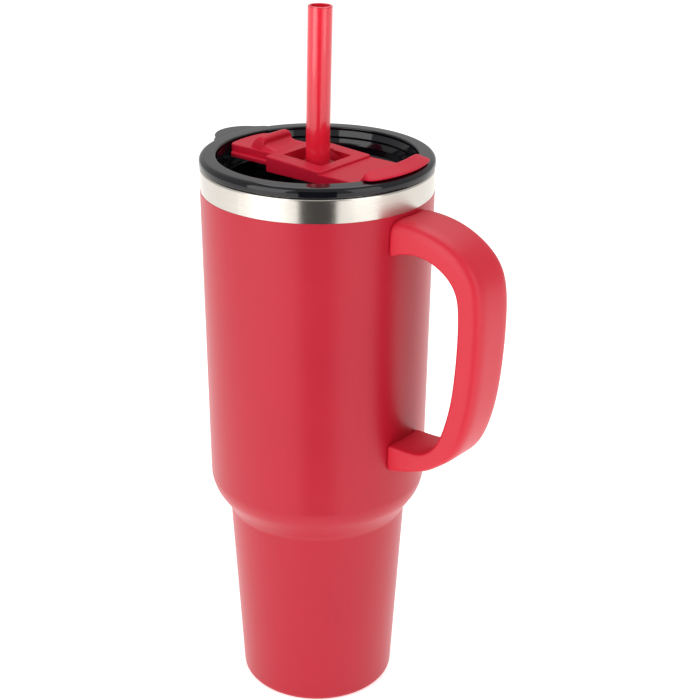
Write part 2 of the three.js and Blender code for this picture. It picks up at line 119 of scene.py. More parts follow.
# Sections through the handle from the upper root to the lower root: the inner and outer faces
# as (x, z), half the width, and the radius of the two outer corners.
HANDLE_SECTIONS = (
    ((46.0, 226.6), (46.0, 243.2), 13.4, 6.5),
    ((57.3, 230.0), (57.5, 243.5), 13.2, 6.5),
    ((66.5, 230.2), (68.5, 241.7), 12.9, 6.0),
    ((75.3, 226.3), (80.3, 236.9), 12.5, 5.5),
    ((81.2, 219.8), (90.0, 228.0), 12.1, 5.0),
    ((83.3, 210.5), (94.0, 214.8), 11.9, 5.0),
    ((83.3, 195.0), (94.4, 196.0), 11.7, 5.0),
    ((81.9, 176.0), (93.1, 176.5), 11.5, 5.0),
    ((79.3, 161.5), (90.1, 159.5), 11.4, 5.0),
    ((74.6, 148.2), (84.0, 144.8), 11.3, 5.0),
    ((68.5, 141.7), (75.0, 136.2), 11.2, 4.5),
    ((61.5, 139.4), (64.5, 129.9), 11.2, 4.5),
    ((46.0, 138.9), (46.0, 124.3), 11.2, 4.5),
)
HANDLE_INNER_CORNER = 1.5
CORNER_REACH = 1.6  # how far a cage's corner points stand off, for a corner of radius 1
LEAST_SIDE = 0.4  # left straight between an inner corner and an outer one
ROOT_EASE = ((1.9, 0.0), (0.75, 0.02), (0.2, 0.6), (-0.35, 1.3))  # off the wall, inwards
ROOT_HALVINGS = 20  # steps that find where a root's rail meets the wall

RECESS_PLACE = 61.0  # of the screw recess's middle, from the mug's axis
RECESS_HALF = (3.4, 8.6)
RECESS_CORNER = 3.3
RECESS_BOTTOM = 225.0
RECESS_TOP = 233.7
PLUG_TOP = 231.3
PLUG_BOTTOM = 229.9


# ---------- the studio ----------
CAMERA_PLACE = (401.946, -484.146, 442.463)
CAMERA_AIM = (11.357, 9.429, 167.463)
CAMERA_ROLL = 0.5379
CAMERA_LENS = 77.5526
CAMERA_SENSOR = 36.0
CAMERA_CLIP = (0.01, 50.0)  # metres
CAMERA_AZIMUTH = 39.7

WORLD_COLOUR = (1.0, 0.99, 0.98, 1.0)
WORLD_STRENGTH = 0.62
SOFTBOX_DISTANCE = 900.0
SOFTBOX_AIM_HEIGHT = 150.0
SOFTBOXES = (  # name, degrees round from the camera, elevation, width and height, watts
    ("softbox_left", -48, 22, (620, 900), 4.2),
    ("softbox_right", 46, 22, (460, 900), 2.0),
    ("softbox_top", 165, 68, (700, 700), 2.8),
)
FLAG_DISTANCE = 200.0
FLAG_WIDTH = 114.0
FLAG_TOP = 330.0
FLAG_BOTTOM = 1.0
FLOOR_REACH = 4000.0


def place_camera():
    place = Vector(CAMERA_PLACE) * MM
    aim = Vector(CAMERA_AIM) * MM
    camera = bpy.data.objects.new("camera", bpy.data.cameras.new("camera"))
    bpy.context.scene.collection.objects.link(camera)
    camera.data.sensor_width = CAMERA_SENSOR
    camera.data.lens = CAMERA_LENS
    camera.data.clip_start, camera.data.clip_end = CAMERA_CLIP
    camera.location = place
    camera.rotation_mode = "QUATERNION"
    roll = Quaternion((0, 0, 1), math.radians(CAMERA_ROLL))
    camera.rotation_quaternion = (aim - place).to_track_quat("-Z", "Y") @ roll
    bpy.context.scene.camera = camera


def add_softbox(name, azimuth, elevation, size, power):
    """A large soft light that faces the mug. Azimuth 0 is along -Y, and 90 along +X."""
    around, up = math.radians(azimuth), math.radians(elevation)
    aim = Vector((0, 0, SOFTBOX_AIM_HEIGHT)) * MM
    flat = math.cos(up)
    away = Vector((math.sin(around) * flat, -math.cos(around) * flat, math.sin(up)))
    light = bpy.data.lights.new(name, "AREA")
    light.shape = "RECTANGLE"
    light.size, light.size_y = size[0] * MM, size[1] * MM
    light.energy = power
    box = bpy.data.objects.new(name, light)
    bpy.context.scene.collection.objects.link(box)
    box.location = aim + away * SOFTBOX_DISTANCE * MM
    box.rotation_mode = "QUATERNION"
    box.rotation_quaternion = (-away).to_track_quat("-Z", "Y")
    box.visible_camera = False


def add_flag():
    """A dark card before the mug, seen only in its reflections, like a studio's dark end."""
    finish = Finish("flag", specular_ior_level=0.0)
    cloth = finish.noise(4, detail=2)
    finish.link("Base Color", finish.mix(cloth, colour("404040"), colour("484848")))
    card = rectangle(-FLAG_WIDTH / 2, FLAG_WIDTH / 2, FLAG_BOTTOM, FLAG_TOP, 0.0)
    corners = [(across, -FLAG_DISTANCE, height) for across, height, _ in card]
    flag = new_piece("flag", corners, faces=[(0, 1, 2, 3)])
    flag.data.transform(Matrix.Rotation(math.radians(CAMERA_AZIMUTH), 4, "Z"))
    flag.data.materials.append(finish.material)
    flag.visible_camera = flag.visible_diffuse = flag.visible_shadow = False


def light_studio():
    scene = bpy.context.scene
    scene.view_settings.view_transform = "Standard"
    scene.world = bpy.data.worlds.new("studio")
    scene.world.use_nodes = True
    background = scene.world.node_tree.nodes["Background"]
    background.inputs["Color"].default_value = WORLD_COLOUR
    background.inputs["Strength"].default_value = WORLD_STRENGTH
    for name, turn, elevation, size, power in SOFTBOXES:
        add_softbox(name, CAMERA_AZIMUTH + turn, elevation, size, power)
    add_flag()


def lay_floor():
    square = rectangle(-FLOOR_REACH, FLOOR_REACH, -FLOOR_REACH, FLOOR_REACH, 0.0)
    floor = new_piece("floor", [(x, y, 0.0) for x, y, _ in square], faces=[(0, 1, 2, 3)])
    floor.data.materials.append(floor_finish())


# ---------- finishes ----------
class Value:
    """A number that varies over a surface. Arithmetic on it adds Math nodes."""

    def __init__(self, finish, socket):
        self.finish = finish
        self.socket = socket

    def _math(self, operation, first, second):
        node = self.finish.node("ShaderNodeMath", {"operation": operation}, {0: first, 1: second})
        return Value(self.finish, node.outputs[0])

    def __add__(self, other):
        return self._math("ADD", self, other)

    def __sub__(self, other):
        return self._math("SUBTRACT", self, other)

    def __rsub__(self, other):
        return self._math("SUBTRACT", other, self)

    def __mul__(self, other):
        return self._math("MULTIPLY", self, other)

    __radd__ = __add__
    __rmul__ = __mul__


def colour(code):
    """A linear colour from its six-digit screen code."""
    channels = [int(code[i : i + 2], 16) / 255 for i in (0, 2, 4)]
    linear = [c / 12.92 if c <= 0.04045 else ((c + 0.055) / 1.055) ** 2.4 for c in channels]
    return (*linear, 1.0)


class Finish:
    """A procedural material round one Principled shader."""

    def __init__(self, name, **uniform):
        self.material = bpy.data.materials.new(name)
        self.material.use_nodes = True
        self.tree = self.material.node_tree
        self.shader = self.tree.nodes["Principled BSDF"]
        for socket, value in uniform.items():
            socket = socket.replace("_", " ").title().replace("Ior", "IOR")
            self.shader.inputs[socket].default_value = value
        self.place = self.node("ShaderNodeTexCoord", {}, {}).outputs["Object"]

    def node(self, kind, settings, sockets):
        node = self.tree.nodes.new(kind)
        for setting, value in settings.items():
            setattr(node, setting, value)
        for socket, value in sockets.items():
            value = value.socket if isinstance(value, Value) else value
            if isinstance(value, bpy.types.NodeSocket):
                self.tree.links.new(value, node.inputs[socket])
            else:
                node.inputs[socket].default_value = value
        return node

    def link(self, socket, value):
        value = value.socket if isinstance(value, Value) else value
        self.tree.links.new(value, self.shader.inputs[socket])

    def stretched(self, x, y, z):
        """Object coordinates with each axis scaled, so that a pattern is longer one way."""
        scale = {"Vector": self.place, "Scale": (x, y, z)}
        return self.node("ShaderNodeMapping", {}, scale).outputs["Vector"]

    def noise(self, size, detail, roughness=0.5, place=None):
        """Noise from 0 to 1 whose features are about size millimetres across."""
        sockets = {
            "Vector": place or self.place,
            "Scale": 1 / (size * MM),
            "Detail": detail,
            "Roughness": roughness,
        }
        return Value(self, self.node("ShaderNodeTexNoise", {}, sockets).outputs["Fac"])

    def spots(self, size):
        """Distance to the nearest of many scattered points, size millimetres apart."""
        sockets = {"Vector": self.place, "Scale": 1 / (size * MM)}
        return Value(self, self.node("ShaderNodeTexVoronoi", {}, sockets).outputs["Distance"])

    def between(self, value, low, high):
        """Value taken from low..high to 0..1, with soft ends."""
        settings = {"interpolation_type": "SMOOTHSTEP"}
        sockets = {"Value": value, "From Min": low, "From Max": high}
        return Value(self, self.node("ShaderNodeMapRange", settings, sockets).outputs["Result"])

    def mix(self, factor, first, second):
        """A colour between two. The node's colour sockets are its inputs 6 and 7, and output 2."""
        settings = {"data_type": "RGBA"}
        node = self.node("ShaderNodeMix", settings, {"Factor": factor, 6: first, 7: second})
        return node.outputs[2]

    def bump(self, height, strength, depth):
        """Relief whose full height is depth millimetres."""
        sockets = {"Height": height, "Strength": strength, "Distance": depth * MM}
        return self.node("ShaderNodeBump", {}, sockets).outputs["Normal"]


def powder_coat_finish():
    """Baked polyester powder: satin, with a very fine orange peel and faint cloudiness."""
    finish = Finish("powder_coat", specular_ior_level=0.36)
    clouds = finish.noise(38, detail=3)
    grain = finish.noise(0.55, detail=2, roughness=0.6)
    peel = finish.noise(1.9, detail=1)
    specks = finish.between(finish.spots(1.3), 0.2, 0.05)
    tint = finish.mix(clouds, colour("a81027"), colour("b3162c"))
    tint = finish.mix(specks * 0.2, tint, colour("c8404e"))
    finish.link("Base Color", tint)
    finish.link("Roughness", 0.28 + grain * 0.08 + clouds * 0.04)
    finish.link("Normal", finish.bump(grain * 0.5 + peel * 0.5, 0.5, 0.035))
    return finish.material


def brushed_steel_finish(name, shade, dark_shade, roughness, line_size):
    """Stainless steel with fine lines that run round the piece."""
    finish = Finish(name, metallic=1.0, anisotropic=0.7, anisotropic_rotation=0.25)
    lines = finish.noise(line_size, detail=2, place=finish.stretched(0.02, 0.02, 1))
    broken = finish.noise(line_size * 2.4, detail=3, place=finish.stretched(0.05, 0.05, 1))
    stain = finish.noise(22, detail=3)
    tint = finish.mix(lines * 0.6 + stain * 0.4, colour(dark_shade), colour(shade))
    finish.link("Base Color", tint)
    finish.link("Roughness", roughness + broken * 0.12 + stain * 0.04)
    finish.link("Normal", finish.bump(lines * 0.6 + broken * 0.4, 0.4, 0.012))
    return finish.material


def moulded_finish(name, shade, light_shade, roughness, grain_size, relief, specular):
    """Injection-moulded plastic with a fine spark-eroded texture."""
    finish = Finish(name, specular_ior_level=specular)
    clouds = finish.noise(26, detail=2)
    grain = finish.noise(grain_size, detail=2, roughness=0.65)
    flow = finish.noise(9, detail=2, place=finish.stretched(1, 1, 0.4))
    tint = finish.mix(clouds * 0.6 + grain * 0.4, colour(shade), colour(light_shade))
    finish.link("Base Color", tint)
    finish.link("Roughness", roughness + grain * 0.08 + flow * 0.05)
    finish.link("Normal", finish.bump(grain, 0.3, relief))
    return finish.material


def gloss_finish():
    """Polished black plastic: a hint of flow in the surface, and hair-fine rubbing marks."""
    finish = Finish("gloss_black", specular_ior_level=0.4)
    rub = finish.noise(0.35, detail=2, place=finish.stretched(1, 0.08, 1))
    marks = finish.between(rub, 0.62, 0.72)
    flow = finish.noise(16, detail=2)
    finish.link("Base Color", finish.mix(flow, colour("07080c"), colour("0b0d15")))
    finish.link("Roughness", 0.05 + marks * 0.07 + flow * 0.03)
    finish.link("Normal", finish.bump(flow, 0.12, 0.2))
    return finish.material


def straw_finish():
    """Glossy, slightly cloudy extruded plastic with faint lines along its length."""
    finish = Finish(
        "straw_red",
        subsurface_weight=0.25,
        subsurface_scale=0.0015,
        specular_ior_level=0.5,
        coat_weight=0.6,
        coat_roughness=0.05,
    )
    finish.shader.inputs["Subsurface Radius"].default_value = (1.0, 0.25, 0.2)
    draw_lines = finish.noise(1.2, detail=2, place=finish.stretched(1, 1, 0.02))
    clouds = finish.noise(14, detail=2)
    finish.link("Base Color", finish.mix(clouds, colour("d81c32"), colour("e0243a")))
    finish.link("Roughness", 0.12 + draw_lines * 0.06 + clouds * 0.03)
    finish.link("Normal", finish.bump(draw_lines, 0.25, 0.03))
    return finish.material


def silicone_finish(name, shade, dusty_shade):
    """Soft moulded silicone: matt, with a little dust."""
    finish = Finish(name, specular_ior_level=0.35)
    dust = finish.between(finish.noise(2.2, detail=4), 0.5, 0.8)
    grain = finish.noise(0.3, detail=2)
    finish.link("Base Color", finish.mix(dust * 0.5, colour(shade), colour(dusty_shade)))
    finish.link("Roughness", 0.5 + dust * 0.2 + grain * 0.08)
    finish.link("Normal", finish.bump(grain, 0.4, 0.03))
    return finish.material


def sintered_finish():
    """Pressed metal powder: grey, porous and dull, with painted shade darkening the pores."""
    finish = Finish("sintered_alloy", metallic=1.0)
    grain = finish.noise(0.4, detail=4, roughness=0.7)
    pores_and_shade = finish.between(finish.spots(0.7), 0.25, 0.05)
    # the pores are painted darker, which is painted shade in the holes; the same mask also cuts
    # them into the relief
    finish.link("Base Color", finish.mix(pores_and_shade, colour("8d8b86"), colour("4a4946")))
    finish.link("Roughness", 0.5 + grain * 0.25)
    finish.link("Normal", finish.bump(grain - pores_and_shade * 0.6, 0.6, 0.08))
    return finish.material


def floor_finish():
    finish = Finish("pale_floor", specular_ior_level=0.1, emission_strength=0.55)
    paper = finish.noise(60, detail=4)
    finish.link("Base Color", finish.mix(paper, colour("f4f3f1"), colour("f8f7f5")))
    finish.link("Emission Color", finish.mix(paper, colour("fbfbfa"), colour("ffffff")))
    finish.link("Roughness", 0.8 + paper * 0.1)
    return finish.material


# ---------- making shapes ----------
def new_piece(name, points, edges=(), faces=()):
    mesh = bpy.data.meshes.new(name)
    mesh.from_pydata([Vector(point) * MM for point in points], edges, faces)
    mesh.shade_smooth()
    piece = bpy.data.objects.new(name, mesh)
    bpy.context.scene.collection.objects.link(piece)
    return piece


def modify(piece, kind, **settings):
    modifier = piece.modifiers.new(kind.lower(), kind)
    for setting, value in settings.items():
        setattr(modifier, setting, value)
    return piece


def even_shading(piece):
    return modify(piece, "WEIGHTED_NORMAL", keep_sharp=True)


def apply_stack(piece):
    """Makes what the modifiers show the piece's own mesh."""
    graph = bpy.context.evaluated_depsgraph_get()
    graph.update()
    mesh = bpy.data.meshes.new_from_object(piece.evaluated_get(graph))
    piece.modifiers.clear()
    piece.data = mesh
    return piece


def cut_and_join(piece, joined=(), cut=()):
    """Adds the joined helpers to a piece and takes the cut ones away, then removes them all."""
    for operation, helpers in (("UNION", joined), ("DIFFERENCE", cut)):
        for helper in helpers:
            modify(piece, "BOOLEAN", operation=operation, object=helper, solver="EXACT")
            apply_stack(piece)
            bpy.data.objects.remove(helper)
    piece.data.shade_smooth()
    piece.data.set_sharp_from_angle(angle=CREASE_ANGLE)
    return piece


def corner_slides(corners, closed):
    """How far along its sides each rounded corner (x, y, radius) begins."""
    slides = []
    for i, corner in enumerate(corners):
        radius = corner[2] if len(corner) > 2 else 0.0
        if radius == 0 or (not closed and i in (0, len(corners) - 1)):
            slides.append(0.0)
            continue
        here = Vector(corner[:2])
        before = here - Vector(corners[i - 1][:2])
        after = Vector(corners[(i + 1) % len(corners)][:2]) - here
        slides.append(radius * math.tan(before.angle(after) / 2))
    return slides


def set_weights(piece, attribute, domain, slides):
    """Stores each corner's slide as a share of the widest, and returns the widest."""
    widest = max(slides)
    weights = piece.data.attributes.new(attribute, "FLOAT", domain)
    weights.data.foreach_set("value", [slide / widest for slide in slides])
    return widest


def offset_run(run, distance):
    """The corners of a wall's other face, a wall's thickness to the right of a run of corners."""
    ways = [(Vector(b[:2]) - Vector(a[:2])).normalized() for a, b in zip(run, run[1:])]
    moved = []
    for i, corner in enumerate(run):
        before, after = ways[max(i - 1, 0)], ways[min(i, len(ways) - 1)]
        reach = distance / (1 + before.dot(after))
        turn = math.copysign(1, before.cross(after))
        radius = corner[2] if len(corner) > 2 else 0.0
        radius = max(radius + turn * distance, LEAST_RADIUS) if radius else 0.0
        x = corner[0] + (before.y + after.y) * reach
        moved.append((x, corner[1] - (before.x + after.x) * reach, radius))
    return moved


def turned(name, corners, closed=True, steps=TURN_STEPS):
    """A piece turned about Z from corners (radius, height, corner radius).
    Its outer side runs from top to bottom."""
    count = len(corners)
    edges = [(i, i + 1) for i in range(count - 1)] + ([(count - 1, 0)] if closed else [])
    piece = new_piece(name, [(corner[0], 0, corner[1]) for corner in corners], edges)
    slides = corner_slides(corners, closed)
    if any(slides):
        widest = set_weights(piece, "bevel_weight_vert", "POINT", slides)
        modify(
            piece,
            "BEVEL",
            affect="VERTICES",
            limit_method="WEIGHT",
            width=widest * MM,
            segments=ARC_SEGMENTS,
            use_clamp_overlap=False,
        )
    modify(
        piece,
        "SCREW",
        steps=steps,
        render_steps=steps,
        use_merge_vertices=True,
        merge_threshold=1e-6,
        use_smooth_shade=True,
    )
    return even_shading(piece)


def prism(name, corners, low, high, edge=0.0):
    """An outline of corners (x, y, radius), raised from low to high, with its top and bottom
    edges eased. high is a height, or gives the height at each x."""
    count = len(corners)
    bottom = [(corner[0], corner[1], low) for corner in corners]
    tops = [high(corner[0]) if callable(high) else high for corner in corners]
    top = [(corner[0], corner[1], height) for corner, height in zip(corners, tops)]
    sides = [(i, (i + 1) % count, (i + 1) % count + count, i + count) for i in range(count)]
    caps = [tuple(reversed(range(count))), tuple(range(count, 2 * count))]
    piece = new_piece(name, bottom + top, faces=sides + caps)
    slides = corner_slides(corners, closed=True)
    if any(slides):
        posts = {(i, i + count): slide for i, slide in enumerate(slides)}
        weights = [posts.get(tuple(sorted(e.vertices)), 0.0) for e in piece.data.edges]
        widest = set_weights(piece, "bevel_weight_edge", "EDGE", weights)
        modify(
            piece,
            "BEVEL",
            limit_method="WEIGHT",
            width=widest * MM,
            segments=ARC_SEGMENTS,
            use_clamp_overlap=False,
        )
    if edge:
        modify(piece, "BEVEL", limit_method="ANGLE", width=edge * MM, segments=EDGE_SEGMENTS)
    return piece


def lofted(name, rings):
    """A closed skin over rings of equally many points, smoothed by subdivision."""
    size = len(rings[0])
    faces = []
    for i in range(len(rings) - 1):
        for j in range(size):
            k = (j + 1) % size
            faces.append((i * size + j, i * size + k, (i + 1) * size + k, (i + 1) * size + j))
    last = (len(rings) - 1) * size
    faces.append(tuple(reversed(range(size))))
    faces.append(tuple(range(last, last + size)))
    piece = new_piece(name, [point for ring in rings for point in ring], faces=faces)
    return modify(piece, "SUBSURF", levels=LOFT_LEVELS, render_levels=LOFT_LEVELS)


def pushed_out(points):
    """Cage points whose smoothed curve runs through the points given. The ends stay."""
    cage = list(points)
    for _ in range(CAGE_ROUNDS):
        middle = [
            cage[i] + points[i] - (cage[i - 1] + 4 * cage[i] + cage[i + 1]) / 6
            for i in range(1, len(points) - 1)
        ]
        cage = [points[0], *middle, points[-1]]
    return cage


def rectangle(x0, x1, y0, y1, radius):
    return [(x0, y0, radius), (x1, y0, radius), (x1, y1, radius), (x0, y1, radius)]


def oblong(place, half_length, half_width, radius):
    """A rectangle whose middle is on the X axis."""
    return rectangle(place - half_length, place + half_length, -half_width, half_width, radius)


def tube_section(outer, inner, top, bottom, outer_corner, inner_corner):
    """Corners of a plain ring or tube, down its outside and up its inside."""
    return [
        (outer, top, outer_corner),
        (outer, bottom, outer_corner),
        (inner, bottom, inner_corner),
        (inner, top, inner_corner),
    ]


def circle(radius, count, place=0.0):
    """Points round a circle whose middle is on the X axis."""
    turns = [2 * math.pi * i / count for i in range(count)]
    return [(place + radius * math.cos(turn), radius * math.sin(turn)) for turn in turns]


def finished(piece, body, material, slot, *replaced):
    """Gives a piece its material and its body, and hides the CAD nodes it stands for. The slot
    argument is not used.
    """
    piece.data.materials.clear()
    piece.data.materials.append(material)
    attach(piece, body)
    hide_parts(*replaced)


# ---------- the vacuum body ----------
def upper_radius(z):
    slope = (LIP[0] - SHOULDER[0]) / (LIP[1] - SHOULDER[1])
    return SHOULDER[0] + slope * (z - SHOULDER[1])


def wall_run(top, foot_radius):
    """The outside of the body from a top corner down to the standing ring."""
    return [top, SHOULDER, CREASE, (BASE_RADIUS, 0.0, 3.0), (foot_radius, 0.0)]


def steel_wall():
    outside = offset_run(wall_run(LIP, FOOT_RADIUS), COAT)
    outside[-1] = (FOOT_RADIUS, COAT)
    seam = LINER_TOP_RADIUS + FIT_GAP
    run = [(seam, LIP[1]), (LIP[0] - COAT, LIP[1], LIP[2]), *outside[1:]]
    return turned("steel_wall", run + offset_run(run, STEEL)[::-1])


def powder_coat():
    outside = wall_run((upper_radius(COAT_TOP), COAT_TOP), COAT_FOOT_RADIUS)
    inside = offset_run(outside, COAT + COAT_SINK)[::-1]
    outside[0] = (*outside[0], 0.1)
    inside[0] = (*inside[0][:2], 0.0)
    return turned("powder_coat", outside + inside)


def steel_liner():
    inside = [
        (MOUTH_RADIUS, LIP[1]),
        (MOUTH_RADIUS, 242.3, 2.0),
        (46.9, 238.3, 2.0),
        (45.8, 106.7, 13.0),
        (37.4, 93.9, 4.0),
        (32.6, LINER_FLOOR + LINER_STEEL, 6.2),
        (0.0, LINER_FLOOR + LINER_STEEL),
    ]
    outside = offset_run(inside, -LINER_STEEL)
    inside[0] = (*inside[0], 0.15)
    outside[0] = (*outside[0][:2], 0.15)
    return turned("steel_liner", inside[::-1] + outside, closed=False)


def foot_cap():
    edge = FOOT_RADIUS - FIT_GAP
    flange = edge - 0.8
    corners = [
        (0.0, 0.8),
        (25.6, 0.8, 0.6),
        (26.6, 1.7, 0.6),
        (flange, 1.7, 0.4),
        (flange, 4.6),
        (edge, 4.6),
        (edge, 0.9, 0.9),
        (27.0, 0.9, 0.9),
        (26.0, 0.0, 0.9),
        (0.0, 0.0),
    ]
    return turned("foot_cap", corners, closed=False)


# ---------- the handle ----------
def handle_ring(inner, outer, half, corner):
    """Cage points of one section: a rectangle with two broad outer and two tight inner corners."""
    across = outer - inner
    depth = across.length
    inner_reach = CORNER_REACH * HANDLE_INNER_CORNER
    outer_reach = min(CORNER_REACH * corner, depth - inner_reach - LEAST_SIDE)
    plan = [
        (depth - outer_reach, half),
        (inner_reach, half),
        (0.0, half),
        (0.0, half - inner_reach),
        (0.0, inner_reach - half),
        (0.0, -half),
        (inner_reach, -half),
        (depth - outer_reach, -half),
        (depth, -half),
        (depth, outer_reach - half),
        (depth, half - outer_reach),
        (depth, half),
    ]
    across.normalize()
    return [inner + across * along + Vector((0, side, 0)) for along, side in plan]


def root_rings(first, second):
    """Rings that carry a handle's end into the wall with an eased edge."""
    rings = []
    for clearance, inset in ROOT_EASE:
        ring = []
        for a, b in zip(first, second):
            low, high = 0.0, 1.0
            for _ in range(ROOT_HALVINGS):
                share = (low + high) / 2
                point = a.lerp(b, share)
                inside = math.hypot(point.x, point.y) < upper_radius(point.z) + clearance
                low, high = (share, high) if inside else (low, share)
            ring.append(a.lerp(b, high))
        centre = sum(ring, Vector()) / len(ring)
        centre.x = 0
        shrunk = []
        for point in ring:
            spoke = point - centre
            spoke.x = 0
            shrunk.append(point - spoke.normalized() * inset)
        rings.append(shrunk)
    return rings


def grip_handle():
    sections = []
    for inner, outer, half, corner in HANDLE_SECTIONS:
        faces = [Vector((x, 0, z)) for x, z in (inner, outer)]
        sections.append(handle_ring(*faces, half, corner))
    rails = [pushed_out(rail) for rail in zip(*sections)]
    rings = [list(ring) for ring in zip(*rails)]
    upper = root_rings(rings[0], rings[1])[::-1]
    lower = root_rings(rings[-1], rings[-2])
    handle = apply_stack(lofted("grip_handle", [*upper, *rings[1:-1], *lower]))
    outline = oblong(RECESS_PLACE, *RECESS_HALF, RECESS_CORNER)
    recess = prism("recess", outline, RECESS_BOTTOM, RECESS_TOP)
    return even_shading(cut_and_join(handle, cut=[recess]))


def screw_plug():
    halves = [half - FIT_GAP for half in RECESS_HALF]
    outline = oblong(RECESS_PLACE, *halves, RECESS_CORNER - FIT_GAP)
    return even_shading(prism("screw_plug", outline, PLUG_BOTTOM, PLUG_TOP, edge=0.35))


# ---------- the lid ----------
def lid_bowl():
    under_rim = LIP[1] + FIT_GAP
    hub_hole = HUB_RADIUS + 0.4
    corners = [
        (LID_RADIUS, LID_TOP, 2.3),
        (LID_RADIUS, under_rim, 0.5),
        (47.0, under_rim),
        (45.8, 249.0, 0.4),
        (44.2, 249.0),
        (44.2, 243.5),
        (45.6, 243.5, 0.4),
        (45.4, SKIRT_BOTTOM, 1.0),
        (42.0, SKIRT_BOTTOM, 0.8),
        (42.0, LID_FLOOR, 1.0),
        (hub_hole, LID_FLOOR, 0.3),
        (hub_hole, WELL_FLOOR, 0.5),
        (WELL_RADIUS - 1.7, WELL_FLOOR, 1.2),
        (WELL_RADIUS - 1.7, 252.3, 0.2),
        (WELL_RADIUS - 0.9, 254.9, 0.2),
        (WELL_RADIUS - 0.9, 255.9, 0.2),
        (WELL_RADIUS, 258.5, 0.3),
        (WELL_RADIUS, LID_TOP, 0.7),
    ]
    bowl = apply_stack(turned("lid_bowl", corners))
    drink_hole = prism("drink_hole", oblong(DRINK_PLACE, 5.0, 6.5, 3.0), HOLE_BOTTOM, HOLE_TOP)
    vent_hole = prism("vent_hole", circle(2.0, 24, VENT_PLACE), HOLE_BOTTOM, HOLE_TOP)
    return even_shading(cut_and_join(bowl, cut=[drink_hole, vent_hole]))


def lift_tab():
    """The rounded ear beside the rim that a finger lifts the lid by."""
    start = TAB_MIDDLE + TAB_ROUND_FROM
    tip = [(y, x) for x, y in circle(TAB_RADIUS, 60, TAB_MIDDLE) if x > start]
    right = [(x, -y) for x, y in TAB_FLARE]
    outline = [*right, *((x, y) for y, x in sorted(tip)), *TAB_FLARE[::-1]]
    tab = prism("lift_tab", outline, TAB_BOTTOM, TAB_TOP, edge=0.7)
    tab.data.transform(Matrix.Rotation(math.radians(TAB_AZIMUTH), 4, "Z"))
    return even_shading(tab)


def lid_seal_ring():
    fin = MOUTH_RADIUS - 0.4
    corners = [
        (44.5, 248.7, 0.2),
        (45.6, 248.7, 0.2),
        (45.9, 248.1, 0.3),
        (fin, 247.6, 0.25),
        (46.2, 246.9, 0.4),
        (46.2, 245.8, 0.4),
        (fin, 245.4, 0.25),
        (46.0, 244.7, 0.3),
        (45.9, 243.8, 0.2),
        (44.5, 243.8, 0.2),
    ]
    return turned("lid_seal_ring", corners)


# ---------- the turning drink cover ----------
def arm_outline(side, half_width, radius, corner):
    """A bar from the middle to the well's wall. side is 1 at the front and -1 at the rear."""
    edge = math.asin(half_width / radius)
    count = 10
    turns = [edge * (2 * i / count - 1) for i in range(count + 1)]
    arc = [(radius * math.cos(turn), radius * math.sin(turn), 0.0) for turn in turns]
    arc[0] = (*arc[0][:2], corner)
    arc[-1] = (*arc[-1][:2], corner)
    outline = [(0.0, -half_width, 0.0), *arc, (0.0, half_width, 0.0)]
    return [(side * x, side * y, r) for x, y, r in outline]


def rim_guard():
    """The raised crescent over the rim, beside the drink hole. It falls away to the outside."""
    section = [
        (39.2, 256.0),
        (40.6, 259.2),
        (41.9, 262.3),
        (42.5, 263.9),
        (43.7, 264.2),
        (45.0, 263.5),
        (47.8, 262.7),
        (50.1, 262.1),
        (50.7, 261.5),
        (49.6, 260.8),
        (48.4, 260.4),
        (44.6, 260.4),
        (42.9, 259.9),
        (42.2, 256.0),
    ]
    middle = (46.0, 260.9)  # what the ends shrink towards
    root_top = 260.0  # the section keeps its size below this
    # degrees from the middle, and the share of its full size that the section has there
    stations = [(25.8, 0.2), (25.4, 0.5), (24.0, 0.76), (20.5, 0.94), (11.0, 1.0)]
    rings = []
    for angle, share in [*((-a, s) for a, s in stations), (0.0, 1.0), *stations[::-1]]:
        turn = math.radians(angle)
        ring = []
        for r, z in section:
            if z > root_top:
                r = middle[0] + (r - middle[0]) * share
                z = middle[1] + (z - middle[1]) * share
            ring.append(Vector((r * math.cos(turn), r * math.sin(turn), z)))
        rings.append(ring)
    return lofted("rim_guard", rings)


def thumb_lip():
    """The raised bar that a thumb pushes on, with a dished front that runs down to the block."""
    section = [
        (-30.0, 257.4),
        (-30.2, 260.2),
        (-29.0, 262.6),
        (-26.8, 264.5),
        (-24.0, 264.9),
        (-22.4, 263.4),
        (-23.0, 262.0),
        (-22.0, 260.9),
        (-18.4, 260.3),
        (-13.6, 258.9),
        (-13.6, 257.8),
        (-24.0, 257.4),
    ]
    base = 259.2  # the ends shrink down to this
    # distance from the middle, and the share of its full height that the section has there
    stations = [(9.9, 0.0), (9.6, 0.3), (9.2, 0.75), (8.5, 0.97), (7.0, 1.0)]
    rings = []
    for y, share in [*stations, (0.0, 1.0), *((-y, share) for y, share in stations[::-1])]:
        ring = [(x, y, base + (z - base) * share if z > base else z) for x, z in section]
        rings.append([Vector(point) for point in ring])
    return lofted("thumb_lip", rings)


def cover_top(x):
    """Height of the cover block's top, which falls gently towards the drinking side."""
    return COVER_TOP - COVER_FALL * x


def cover_block():
    outline = rectangle(-14.8, 15.7, -17.7, 17.7, 1.6)
    return prism("drink_cover", outline, COVER_BOTTOM, cover_top, edge=0.6)


def cover_arms():
    front = arm_outline(1, 17.6, ARM_RADIUS, 1.0)
    ledge = arm_outline(-1, 14.3, ARM_RADIUS - LEDGE_SETBACK, 2.0)
    rear = arm_outline(-1, 11.7, ARM_RADIUS, 2.5)
    return [
        prism("front_arm", front, COVER_BOTTOM, ARM_TOP, edge=0.5),
        prism("ledge", ledge, ARM_BOTTOM - 0.7, LEDGE_TOP, edge=0.4),
        prism("rear_arm", rear, REAR_ARM_BOTTOM, REAR_ARM_TOP, edge=0.5),
    ]


